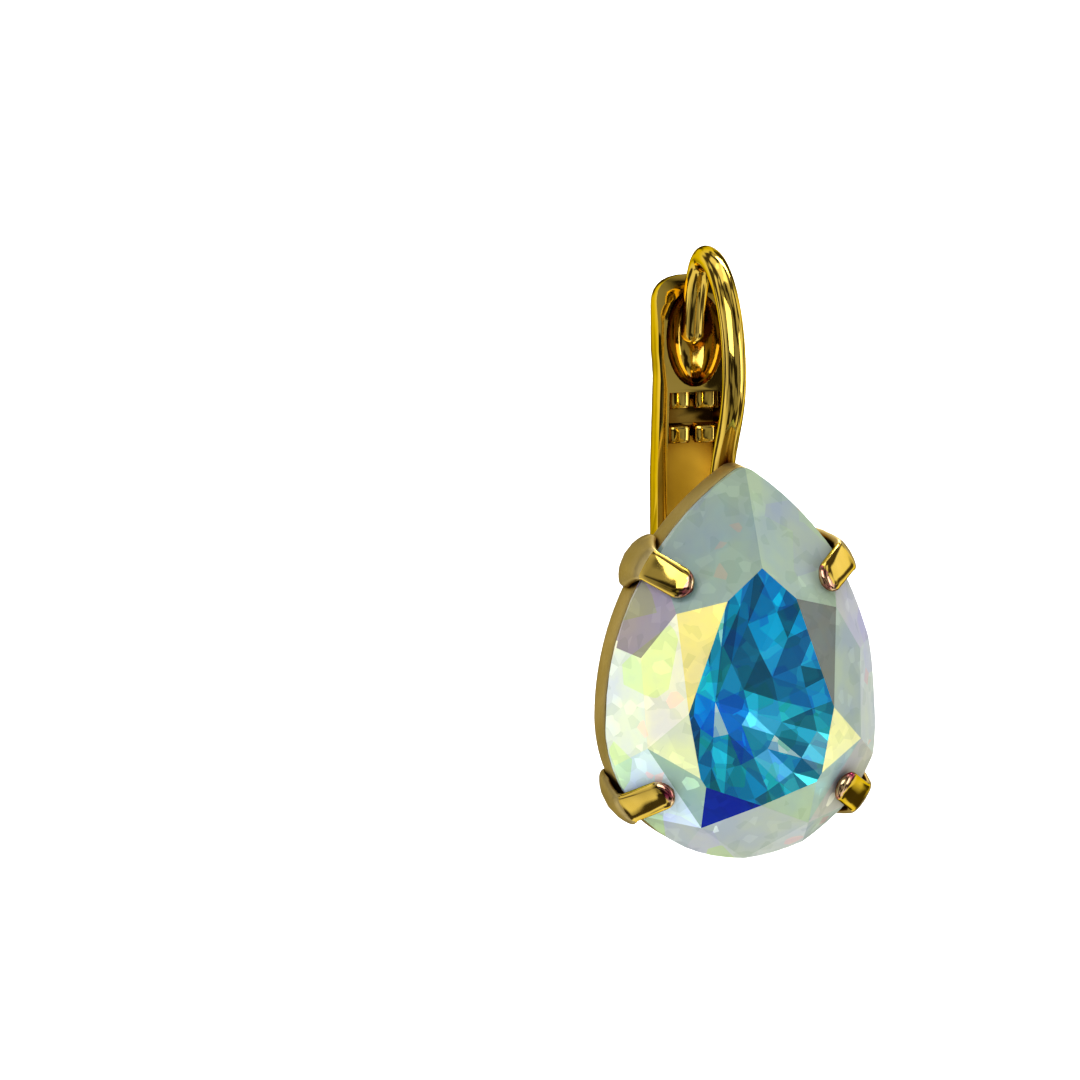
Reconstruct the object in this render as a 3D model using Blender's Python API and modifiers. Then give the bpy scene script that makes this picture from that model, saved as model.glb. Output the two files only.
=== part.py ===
"""Leverback earring with one pear-cut crystal in a four-prong cup.

The earring hangs as it does on an ear. Units are metres, +Z is up, the crystal faces -Y
and the lever is behind it at +Y. The origin is on the underside of the wire arch's crown,
where the arch rests on the ear lobe.
"""
import math

import bmesh
import bpy
from mathutils import Vector

COLLECTION_NAME = "teardrop_earring"

# Crystal: a pear outline of three tangent arcs, a faceted crown and a faceted pavilion
STONE_LENGTH = 0.0140
STONE_WIDTH = 0.0101
TIP_RADIUS = 0.0006
CROWN_HEIGHT = 0.0020
GIRDLE_THICKNESS = 0.0004
PAVILION_DEPTH = 0.0031
PAVILION_MAINS = 12
BREAK_STEEPNESS = 1.2

# Setting: a pressed cup with four prongs
SHEET = 0.00035
STONE_GAP = 0.00015
CUP_DEPTH = 0.00375
PRONG_WIDTH = 0.00115
PRONG_ROOT_WIDTH = 0.00175
PRONG_THICKNESS = 0.00036
PRONG_REACH = 0.0012
PRONG_BULGE = 0.00045
PRONG_ROOT_DEPTH = 0.0015
UPPER_PRONG_DROP = 0.00338
LOWER_PRONG_DROP = 0.01185

# Ear wire: depths are measured back from the girdle plane, heights up from the crystal's tip
WIRE_DIAMETER = 0.0009
WIRE_TOP_HEIGHT = 0.00748
ARCH_RISE = 0.0040
FRONT_LEG_DEPTH = 0.00113
BACK_LEG_DEPTH = 0.0062
WIRE_ROOT_DEPTH = 0.00235
BACK_LEG_END_HEIGHT = 0.0037

# Lever: a channel that is open to the front, with a spoon-shaped upper end
LEVER_TOP_HEIGHT = 0.0062
LEVER_WALL = 0.00035
SPOON_WIDTH = 0.00277
SPOON_WIRE_GAP = 0.00032
NECK_WIDTH = 0.0026
LEVER_FOOT_WIDTH = 0.0028
BACK_CORNER_RADIUS = 0.00055
RIB_FRONT_SINK = 0.00035
RIB_SLOT_WIDTH = 0.00046

# Hinge: an eye behind the cup, between the lever's two sides, on one rivet
HINGE_DROP = 0.0042
PIN_DIAMETER = 0.0007
PIN_PROUD = 0.00012
PIN_GAP = 0.00015
CHEEK_WALL = 0.00025
EYE_WALL = 0.0003
EYE_CLEARANCE = 0.00025
HINGE_SIDE_GAP = 0.0003

# Counts of sides and steps
TIP_STEPS = 4
SIDE_STEPS = 14
BOWL_STEPS = 14
WIRE_STEPS = 40
PRONG_STEPS = 6
FOOT_STEPS = 12
SPOON_STEPS = 8
RIM_STEPS = 6
ROUND_SIDES = 24

MERGE = 1e-7
CUTTER_MARGIN = 0.001

# Outline: the wide end's circle, the long side arc and the tip's arc all meet tangentially
BOWL_RADIUS = STONE_WIDTH / 2
TIP_RISE = STONE_LENGTH - BOWL_RADIUS
TIP_CENTRE = TIP_RISE - TIP_RADIUS
SIDE_RADIUS = (BOWL_RADIUS**2 + TIP_CENTRE**2 - TIP_RADIUS**2) / (2 * (BOWL_RADIUS - TIP_RADIUS))
SIDE_CENTRE = SIDE_RADIUS - BOWL_RADIUS
TIP_ANGLE = math.atan2(SIDE_CENTRE, TIP_CENTRE)

# Places that follow from the sizes
WIRE_RADIUS = WIRE_DIAMETER / 2
ARCH_CENTRE_HEIGHT = WIRE_TOP_HEIGHT - WIRE_RADIUS - ARCH_RISE
ARCH_CROWN_SHARE = 0.66
ARCH_CROWN_DEPTH = FRONT_LEG_DEPTH + ARCH_CROWN_SHARE * (BACK_LEG_DEPTH - FRONT_LEG_DEPTH)
GIRDLE_Y = -ARCH_CROWN_DEPTH
TIP_Z = WIRE_DIAMETER - WIRE_TOP_HEIGHT
BOWL_Z = TIP_Z - TIP_RISE
HALF_GIRDLE = GIRDLE_THICKNESS / 2
PIN_HOLE_RADIUS = PIN_DIAMETER / 2 + PIN_GAP
EYE_RADIUS = PIN_HOLE_RADIUS + EYE_WALL
LEVER_FOOT_RADIUS = PIN_HOLE_RADIUS + CHEEK_WALL
LEVER_BACK_DEPTH = BACK_LEG_DEPTH + WIRE_RADIUS + SPOON_WIRE_GAP + LEVER_WALL
LEVER_FRONT_DEPTH = LEVER_BACK_DEPTH - 2 * LEVER_FOOT_RADIUS
HINGE_DEPTH = LEVER_BACK_DEPTH - LEVER_FOOT_RADIUS

# Crown corners, right half: share of half width, share of length from the tip, share of crown height
CROWN_CORNERS = {
    "tip": (0.0, 0.0, 0.0),
    "table_top": (0.0, 0.234, 1.0),
    "table_shoulder": (0.252, 0.315, 1.0),
    "table_side": (0.533, 0.597, 1.0),
    "table_foot": (0.436, 0.782, 1.0),
    "table_base": (0.0, 0.840, 1.0),
    "star_upper": (0.585, 0.347, 0.683),
    "star_side": (0.785, 0.690, 0.600),
    "star_lower": (0.395, 0.900, 0.625),
    "girdle_upper": (0.672, 0.232, 0.0),
    "girdle_shoulder": (0.902, 0.450, 0.0),
    "girdle_side": (0.962, 0.765, 0.0),
    "girdle_lower": (0.797, 0.857, 0.0),
    "girdle_foot": (0.434, 0.964, 0.0),
    "girdle_base": (0.0, 1.0, 0.0),
}

# Each facet of the crown's right half lies in the plane through three of those corners
CROWN_FACETS = (
    ("tip", "table_top", "table_shoulder"),
    ("table_shoulder", "star_upper", "table_side"),
    ("table_side", "star_side", "table_foot"),
    ("table_foot", "star_lower", "table_base"),
    ("table_side", "star_upper", "star_side"),
    ("table_foot", "star_side", "star_lower"),
    ("table_base", "star_lower", "girdle_base"),
    ("star_upper", "girdle_upper", "girdle_shoulder"),
    ("star_side", "girdle_shoulder", "girdle_side"),
    ("star_side", "girdle_side", "girdle_lower"),
    ("star_lower", "girdle_lower", "girdle_foot"),
    ("star_lower", "girdle_foot", "girdle_base"),
)

# Cup sections from the rim to the back: share of the crystal's outline, share of cup depth
CUP_SECTIONS = (
    (1.000, 0.095),
    (1.000, 0.400),
    (0.985, 0.500),
    (0.955, 0.560),
    (0.620, 0.965),
    (0.570, 1.000),
)

# Seat cut into the cup, from its deepest point: share of the seat's outline, share of pavilion depth
SEAT_SECTIONS = (
    (0.02, 0.98),
    (1.00, 0.00),
)

# Prong's bend from cup to crown: offset as share of the bulge, depth as share of root or fold depth
PRONG_BEND = {
    "low_pull": (1.10, 0.80),
    "high_pull": (1.25, 0.20),
    "fold": (0.60, 1.00),
}

# Prong's end over the crown: share of reach, share of width
PRONG_END = (
    (0.10, 1.00),
    (0.40, 1.00),
    (0.70, 0.94),
    (0.90, 0.76),
    (1.00, 0.46),
)

# Inside of the lever, from the top: each rib's lower and upper height, share of the lever's top height
RIBS = (
    (0.221, 0.352),
    (0.019, 0.124),
)

# Shape of the lever: shares of the spoon's width, of the top height and of the hinge's drop
SPOON_ROUND = 0.42
SPOON_SQUARENESS = 2.6
NECK_SHARE = 0.40
FOOT_SHARE = 0.25
RIM_SLOPE = 0.62
RIM_CURVE = 1.4
SPOON_LIP = 0.8
FOOT_TANGENT = math.radians(9)
TONGUE_SHARE = 0.8

# Shape of the wire behind the cup: start as a share of the eye's radius, lean of the part above the tip
WIRE_START = 1.6
WIRE_LEAN = 0.3
WIRE_LOWER_STEPS = 6

# Shape of the prongs: height over the crown for its slope, and rounding as a share of thickness
PRONG_LIFT = 1.2
PRONG_EDGE = 0.22


def place(x, rise, depth):
    """World point from the distance beside, above the wide end's centre, and behind the girdle."""
    return Vector((x, GIRDLE_Y + depth, BOWL_Z + rise))


def place_from_tip(x, height, depth):
    """World point with its height measured up from the crystal's tip."""
    return place(x, TIP_RISE + height, depth)


def outline_point(angle):
    """Point of the pear outline whose outward normal leans by this angle from straight up."""
    side = math.sin(angle)
    up = math.cos(angle)
    turn = abs(angle)
    if turn < TIP_ANGLE:
        return TIP_RADIUS * side, TIP_CENTRE + TIP_RADIUS * up
    if turn < math.pi / 2:
        return SIDE_RADIUS * side - math.copysign(SIDE_CENTRE, angle), SIDE_RADIUS * up
    return BOWL_RADIUS * side, BOWL_RADIUS * up


def outline_angles():
    """Normal angles of the outline's points, once round from the tip."""
    half = [TIP_ANGLE * i / TIP_STEPS for i in range(TIP_STEPS)]
    side_span = math.pi / 2 - TIP_ANGLE
    half += [TIP_ANGLE + side_span * i / SIDE_STEPS for i in range(SIDE_STEPS)]
    half += [math.pi / 2 * (1 + i / BOWL_STEPS) for i in range(BOWL_STEPS + 1)]
    return half + [-angle for angle in reversed(half[1:-1])]


def angle_at_drop(drop):
    """Normal angle of the right-hand outline at a distance below the tip."""
    rise = TIP_RISE - drop
    return math.acos(rise / (SIDE_RADIUS if rise > 0 else BOWL_RADIUS))


def crown_corner(name, mirror=1):
    """Crown corner as distance beside, rise over the wide end's centre, height over the girdle."""
    side, along, up = CROWN_CORNERS[name]
    return Vector((mirror * side * BOWL_RADIUS, TIP_RISE - along * STONE_LENGTH, up * CROWN_HEIGHT))


def crown_planes():
    """Planes of the crown as a point and an outward normal, in crown_corner's axes."""
    planes = [(Vector((0, 0, CROWN_HEIGHT)), Vector((0, 0, 1)))]
    for mirror in (1, -1):
        for names in CROWN_FACETS:
            a, b, c = (crown_corner(name, mirror) for name in names)
            normal = (b - a).cross(c - a).normalized()
            planes.append((a, normal if normal.z > 0 else -normal))
    return planes


def crown_height(x, rise):
    """Height of the crown over the girdle's upper edge, also a little outside the outline."""
    heights = []
    for point, normal in crown_planes():
        heights.append(point.z - (normal.x * (x - point.x) + normal.y * (rise - point.y)) / normal.z)
    return min(heights)


def pavilion_planes():
    """Planes of the pavilion: mains that meet at the culet, and steeper breaks at the girdle."""
    planes = []
    culet = Vector((0, 0, -PAVILION_DEPTH))
    for i in range(PAVILION_MAINS * 3):
        turn = 2 * math.pi * i / (PAVILION_MAINS * 3)
        angle = turn if turn <= math.pi else turn - 2 * math.pi
        x, rise = outline_point(angle)
        girdle = Vector((x, rise, 0))
        tangent = Vector((math.cos(angle), -math.sin(angle), 0))
        target = culet.copy()
        if i % 3:
            target.z *= BREAK_STEEPNESS
        normal = tangent.cross(target - girdle).normalized()
        planes.append((girdle, normal if normal.z < 0 else -normal))
    return planes


def link(obj, collection):
    collection.objects.link(obj)
    return obj


def mesh_object(name, mesh_builder, collection):
    """Object from a bmesh."""
    mesh = bpy.data.meshes.new(name)
    mesh_builder.to_mesh(mesh)
    mesh_builder.free()
    return link(bpy.data.objects.new(name, mesh), collection)


def loft(rings, close_start=True, close_end=True):
    """Bmesh skin through rings of equally many points; an end that is not closed stays open."""
    bm = bmesh.new()
    rows = [[bm.verts.new(point) for point in ring] for ring in rings]
    for lower, upper in zip(rows, rows[1:]):
        for i in range(len(lower)):
            j = (i + 1) % len(lower)
            bm.faces.new((lower[i], lower[j], upper[j], upper[i]))
    if close_start:
        bm.faces.new(list(reversed(rows[0])))
    if close_end:
        bm.faces.new(rows[-1])
    if close_start and close_end:
        bmesh.ops.recalc_face_normals(bm, faces=bm.faces)
    return bm


def cut_by_plane(bm, point, normal):
    """Remove what lies outside a plane and close the cut with one flat face."""
    geometry = bm.verts[:] + bm.edges[:] + bm.faces[:]
    result = bmesh.ops.bisect_plane(
        bm, geom=geometry, dist=MERGE, plane_co=point, plane_no=normal, clear_outer=True)
    cut_edges = [item for item in result["geom_cut"] if isinstance(item, bmesh.types.BMEdge)]
    open_edges = [edge for edge in cut_edges if edge.is_boundary]
    if len(open_edges) > 2:
        bmesh.ops.edgeloop_fill(bm, edges=open_edges)


def bevelled_edges(obj, width, segments, angle_deg=40):
    modifier = obj.modifiers.new("rounded edges", "BEVEL")
    modifier.width = width
    modifier.segments = segments
    modifier.limit_method = "ANGLE"
    modifier.angle_limit = math.radians(angle_deg)
    return modifier


def boolean(obj, other, operation, solver="EXACT"):
    modifier = obj.modifiers.new(other.name, "BOOLEAN")
    modifier.operation = operation
    modifier.object = other
    modifier.solver = solver
    return modifier


def curve_to_mesh(name, points, radius, sides_level, collection):
    """Closed round wire through the points."""
    curve = bpy.data.curves.new(name + "_path", "CURVE")
    curve.dimensions = "3D"
    curve.bevel_depth = radius
    curve.bevel_resolution = sides_level
    curve.use_fill_caps = True
    spline = curve.splines.new("POLY")
    spline.points.add(len(points) - 1)
    for spline_point, point in zip(spline.points, points):
        spline_point.co = (*point, 1)
    guide = link(bpy.data.objects.new(name + "_path", curve), collection)
    bpy.context.view_layer.update()
    depsgraph = bpy.context.evaluated_depsgraph_get()
    mesh = bpy.data.meshes.new_from_object(guide.evaluated_get(depsgraph))
    obj = link(bpy.data.objects.new(name, mesh), collection)
    obj.matrix_world = guide.matrix_world
    bpy.data.objects.remove(guide)
    bm = bmesh.new()
    bm.from_mesh(mesh)
    bmesh.ops.remove_doubles(bm, verts=bm.verts, dist=MERGE)
    bmesh.ops.recalc_face_normals(bm, faces=bm.faces)
    bm.to_mesh(mesh)
    bm.free()
    return obj


def cylinder_across(name, radius, length, centre, sides, collection):
    """Cylinder along X."""
    bpy.ops.mesh.primitive_cylinder_add(
        vertices=sides, radius=radius, depth=length, location=centre,
        rotation=(0, math.pi / 2, 0))
    obj = bpy.context.object
    obj.name = name
    move_to(obj, collection)
    return obj


def box_between(name, low, high, collection):
    """Box from its lowest to its highest corner."""
    bpy.ops.mesh.primitive_cube_add(size=1, location=(low + high) / 2)
    obj = bpy.context.object
    obj.name = name
    obj.scale = high - low
    bpy.ops.object.transform_apply(location=False, rotation=False, scale=True)
    move_to(obj, collection)
    return obj


def move_to(obj, collection):
    for owner in list(obj.users_collection):
        owner.objects.unlink(obj)
    collection.objects.link(obj)


def make_material(name, colour, roughness, metallic):
    material = bpy.data.materials.new(name)
    material.use_nodes = True
    shader = material.node_tree.nodes["Principled BSDF"]
    shader.inputs["Base Color"].default_value = (*colour, 1)
    shader.inputs["Roughness"].default_value = roughness
    shader.inputs["Metallic"].default_value = metallic
    return material


def build_crystal(parts):
    """A pear prism from culet to table, cut down by the facet planes."""
    rings = []
    for depth in (HALF_GIRDLE + PAVILION_DEPTH, -HALF_GIRDLE - CROWN_HEIGHT):
        rings.append([place(*outline_point(angle), depth) for angle in outline_angles()])
    bm = loft(rings)
    for planes, girdle_depth in ((crown_planes(), -HALF_GIRDLE), (pavilion_planes(), HALF_GIRDLE)):
        for point, normal in planes:
            world_point = place(point.x, point.y, girdle_depth - point.z)
            cut_by_plane(bm, world_point, Vector((normal.x, -normal.z, normal.y)))
    bmesh.ops.recalc_face_normals(bm, faces=bm.faces)
    return mesh_object("crystal", bm, parts)


def build_cup(parts, cutters):
    """Pressed cup whose rim carries the crystal's pavilion."""
    rings = []
    for share, depth_share in CUP_SECTIONS:
        ring = []
        for angle in outline_angles():
            x, rise = outline_point(angle)
            ring.append(place(x * share, rise * share, depth_share * CUP_DEPTH))
        rings.append(ring)
    cup = mesh_object("setting", loft(rings, close_start=False), parts)
    shell = cup.modifiers.new("sheet", "SOLIDIFY")
    shell.thickness = SHEET
    shell.offset = -1
    shell.use_even_offset = True

    widen = 1 + STONE_GAP / BOWL_RADIUS
    seat_depth = HALF_GIRDLE + STONE_GAP / 2
    levels = [(share * widen, seat_depth + PAVILION_DEPTH * widen * fall) for share, fall in SEAT_SECTIONS]
    levels.append((widen, -CUTTER_MARGIN))
    seat_rings = []
    for share, depth in levels:
        seat_rings.append([
            place(x * share, rise * share, depth)
            for x, rise in map(outline_point, outline_angles())])
    seat = mesh_object("cut_seat", loft(seat_rings), cutters)
    boolean(cup, seat, "DIFFERENCE", "MANIFOLD")
    return cup


def prong_path(x, rise, out_x, out_rise):
    """Outward offset, depth and width along a prong, from its root in the cup to its end on the crown."""
    lift = (STONE_GAP + PRONG_THICKNESS / 2) * PRONG_LIFT

    def over_crown(offset):
        height = crown_height(x + out_x * offset, rise + out_rise * offset)
        return Vector((offset, -(HALF_GIRDLE + height + lift)))

    fold = over_crown(PRONG_BULGE * PRONG_BEND["fold"][0])
    root = Vector((-SHEET / 2, PRONG_ROOT_DEPTH))
    bulge_share, depth_share = PRONG_BEND["low_pull"]
    low_pull = Vector((PRONG_BULGE * bulge_share, PRONG_ROOT_DEPTH * depth_share))
    bulge_share, depth_share = PRONG_BEND["high_pull"]
    high_pull = Vector((PRONG_BULGE * bulge_share, fold.y * depth_share))
    path = []
    for i in range(PRONG_STEPS + 1):
        t = i / PRONG_STEPS
        point = (
            root * (1 - t)**3 + low_pull * 3 * t * (1 - t)**2
            + high_pull * 3 * t * t * (1 - t) + fold * t**3)
        path.append((point, PRONG_ROOT_WIDTH + (PRONG_WIDTH - PRONG_ROOT_WIDTH) * t))
    for reach_share, width_share in PRONG_END:
        path.append((over_crown(-PRONG_REACH * reach_share), PRONG_WIDTH * width_share))
    return path


def build_prong(name, drop, side, cutters):
    """Flat strip that leaves the cup, stands round the girdle and folds over the crown."""
    angle = side * angle_at_drop(drop)
    x, rise = outline_point(angle)
    out_x = math.sin(angle)
    out_rise = math.cos(angle)
    bm = bmesh.new()
    rows = []
    for (offset, depth), width in prong_path(x, rise, out_x, out_rise):
        row = []
        for across in (-width / 2, width / 2):
            row.append(bm.verts.new(place(
                x + out_x * offset + out_rise * across,
                rise + out_rise * offset - out_x * across,
                depth)))
        rows.append(row)
    for lower, upper in zip(rows, rows[1:]):
        bm.faces.new((lower[0], lower[1], upper[1], upper[0]))
    prong = mesh_object(name, bm, cutters)
    thick = prong.modifiers.new("thickness", "SOLIDIFY")
    thick.thickness = PRONG_THICKNESS
    thick.offset = 0
    thick.use_even_offset = True
    bevelled_edges(prong, PRONG_THICKNESS * PRONG_EDGE, 2, 50)
    return prong


def wire_path():
    """Centre line of the ear wire, from the hinge eye up the cup's back and over the arch."""
    slope_share, slope_depth_share = CUP_SECTIONS[-2]
    lean_depth = FRONT_LEG_DEPTH + (WIRE_ROOT_DEPTH - FRONT_LEG_DEPTH) * WIRE_LEAN
    lower_points = (
        Vector((HINGE_DEPTH - EYE_RADIUS * WIRE_START, -HINGE_DROP)),
        Vector((slope_depth_share * CUP_DEPTH + WIRE_RADIUS / 2, (slope_share - 1) * TIP_RISE)),
        Vector((WIRE_ROOT_DEPTH, 0)),
        Vector((lean_depth, ARCH_CENTRE_HEIGHT / 2)),
        Vector((FRONT_LEG_DEPTH, ARCH_CENTRE_HEIGHT)),
    )
    points = smooth_through(lower_points, WIRE_LOWER_STEPS)
    for i in range(1, WIRE_STEPS):
        turn = math.pi * i / WIRE_STEPS
        reach = ARCH_CROWN_DEPTH - FRONT_LEG_DEPTH
        if turn > math.pi / 2:
            reach = BACK_LEG_DEPTH - ARCH_CROWN_DEPTH
        height = ARCH_CENTRE_HEIGHT + ARCH_RISE * math.sin(turn)
        if turn < math.pi / 2 or height > BACK_LEG_END_HEIGHT:
            points.append(Vector((ARCH_CROWN_DEPTH - reach * math.cos(turn), height)))
    points.append(Vector((BACK_LEG_DEPTH, BACK_LEG_END_HEIGHT)))
    return [place_from_tip(0, height, depth) for depth, height in points]


def smooth_through(points, steps):
    """Catmull-Rom curve through the points."""
    ends = [2 * points[0] - points[1], *points, 2 * points[-1] - points[-2]]
    curve = []
    for a, b, c, d in zip(ends, ends[1:], ends[2:], ends[3:]):
        for i in range(steps):
            t = i / steps
            curve.append(0.5 * (
                2 * b + (c - a) * t + (2 * a - 5 * b + 4 * c - d) * t**2
                + (3 * b - a - 3 * c + d) * t**3))
    curve.append(points[-1].copy())
    return curve


def build_setting(parts, cutters):
    """Cup, prongs, ear wire and hinge eye, soldered into one piece."""
    setting = build_cup(parts, cutters)
    for height_name, drop in (("upper", UPPER_PRONG_DROP), ("lower", LOWER_PRONG_DROP)):
        for side_name, side in (("right", 1), ("left", -1)):
            prong = build_prong(f"prong_{height_name}_{side_name}", drop, side, cutters)
            boolean(setting, prong, "UNION", "MANIFOLD")
    wire = curve_to_mesh("ear_wire", wire_path(), WIRE_RADIUS, 3, cutters)
    boolean(setting, wire, "UNION", "MANIFOLD")

    eye_width = LEVER_FOOT_WIDTH - 2 * LEVER_WALL - 2 * HINGE_SIDE_GAP
    eye_centre = place_from_tip(0, -HINGE_DROP, HINGE_DEPTH)
    eye = cylinder_across("hinge_eye", EYE_RADIUS, eye_width, eye_centre, ROUND_SIDES, cutters)
    boolean(setting, eye, "UNION", "MANIFOLD")
    tongue_low = place_from_tip(-eye_width / 2, -HINGE_DROP - EYE_RADIUS * TONGUE_SHARE, CUP_DEPTH - SHEET / 2)
    tongue_high = place_from_tip(eye_width / 2, -HINGE_DROP + EYE_RADIUS * TONGUE_SHARE, HINGE_DEPTH)
    tongue = box_between("hinge_tongue", tongue_low, tongue_high, cutters)
    boolean(setting, tongue, "UNION", "MANIFOLD")
    hole = cylinder_across(
        "cut_eye", PIN_HOLE_RADIUS, eye_width + CUTTER_MARGIN, eye_centre, ROUND_SIDES, cutters)
    boolean(setting, hole, "DIFFERENCE", "MANIFOLD")
    return setting


def spoon_height():
    """Height over the tip at which the lever's round top begins."""
    return LEVER_TOP_HEIGHT - SPOON_WIDTH * SPOON_ROUND


def lever_half_width(height):
    """Half width of the lever at a height over the tip."""
    spoon = spoon_height()
    neck = LEVER_TOP_HEIGHT * NECK_SHARE
    if height >= spoon:
        reach = (height - spoon) / (LEVER_TOP_HEIGHT - spoon)
        return SPOON_WIDTH / 2 * max(0.0, 1 - reach**SPOON_SQUARENESS)**(1 / SPOON_SQUARENESS)
    if height >= neck:
        blend = (height - neck) / (spoon - neck)
        blend = 0.5 - 0.5 * math.cos(math.pi * min(1.0, 2 * blend))
        return (NECK_WIDTH + (SPOON_WIDTH - NECK_WIDTH) * blend) / 2
    blend = min(1.0, (neck - height) / (neck + HINGE_DROP * FOOT_SHARE))
    return (NECK_WIDTH + (LEVER_FOOT_WIDTH - NECK_WIDTH) * blend) / 2


def lever_heights():
    """Heights of the lever's outline points, from the foot to the top."""
    heights = [-HINGE_DROP - LEVER_FOOT_RADIUS - CUTTER_MARGIN, -HINGE_DROP * FOOT_SHARE]
    span = spoon_height() - heights[-1]
    heights += [heights[-1] + span * i / FOOT_STEPS for i in range(1, FOOT_STEPS)]
    for i in range(SPOON_STEPS + 1):
        lift = math.sin(math.pi / 2 * i / SPOON_STEPS)
        heights.append(spoon_height() + (LEVER_TOP_HEIGHT - spoon_height()) * lift)
    return heights


def mirrored(half):
    """Closed outline from its right half, left out on the left where it meets the middle."""
    return half + [(-width, height) for width, height in reversed(half) if width > MERGE]


def channel_outline(low, high):
    """Outline of the lever's inside between two heights."""
    heights = [low] + [height for height in lever_heights() if low < height < high] + [high]
    return mirrored([(lever_half_width(height) - LEVER_WALL, height) for height in heights])


def lever_side_outline():
    """Side view of the lever, wider than the lever itself where it needs no cut."""
    outline = []
    for i in range(FOOT_STEPS + 1):
        turn = FOOT_TANGENT + (math.pi - 2 * FOOT_TANGENT) * i / FOOT_STEPS
        outline.append((
            HINGE_DEPTH - LEVER_FOOT_RADIUS * math.cos(turn),
            -HINGE_DROP - LEVER_FOOT_RADIUS * math.sin(turn)))
    over = CUTTER_MARGIN * math.sin(FOOT_TANGENT)
    up = CUTTER_MARGIN * math.cos(FOOT_TANGENT)
    outline.append((outline[-1][0] + over, outline[-1][1] + up))
    rim_back = LEVER_BACK_DEPTH - BACK_CORNER_RADIUS
    rim_top = LEVER_TOP_HEIGHT + LEVER_WALL
    rim_drop = SPOON_WIDTH * RIM_SLOPE
    outline.append((LEVER_BACK_DEPTH + CUTTER_MARGIN, LEVER_TOP_HEIGHT + CUTTER_MARGIN))
    outline.append((rim_back, LEVER_TOP_HEIGHT + CUTTER_MARGIN))
    for i in range(RIM_STEPS + 1):
        t = i / (RIM_STEPS - 1)
        outline.append((
            rim_back - (rim_back - LEVER_FRONT_DEPTH) * t,
            rim_top - (rim_drop + LEVER_WALL) * t**RIM_CURVE))
    outline.append((outline[0][0] - over, outline[0][1] + up))
    return outline


def prism(name, outline, low, high, along, collection):
    """Closed prism of an outline of (depth or side, height) pairs, along X or along depth."""
    rings = []
    for end in (low, high):
        if along == "x":
            rings.append([place_from_tip(end, height, across) for across, height in outline])
        else:
            rings.append([place_from_tip(across, height, end) for across, height in outline])
    return mesh_object(name, loft(rings), collection)


def build_lever_body(parts, cutters):
    """Solid lever with its rounded back, round foot and sloping spoon rim."""
    outline = mirrored([(lever_half_width(height), height) for height in lever_heights()])
    lever = prism("lever", outline, LEVER_FRONT_DEPTH, LEVER_BACK_DEPTH, "depth", parts)
    bm = bmesh.new()
    bm.from_mesh(lever.data)
    back_y = GIRDLE_Y + LEVER_BACK_DEPTH
    back_rim = [edge for edge in bm.edges if all(abs(v.co.y - back_y) < MERGE for v in edge.verts)]
    bmesh.ops.bevel(
        bm, geom=back_rim, offset=BACK_CORNER_RADIUS, segments=4, profile=0.5,
        affect="EDGES", clamp_overlap=True)
    bmesh.ops.remove_doubles(bm, verts=bm.verts, dist=MERGE * 10)
    bm.to_mesh(lever.data)
    bm.free()
    side = prism("keep_side", lever_side_outline(), -SPOON_WIDTH, SPOON_WIDTH, "x", cutters)
    boolean(lever, side, "INTERSECT")
    return lever


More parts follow.
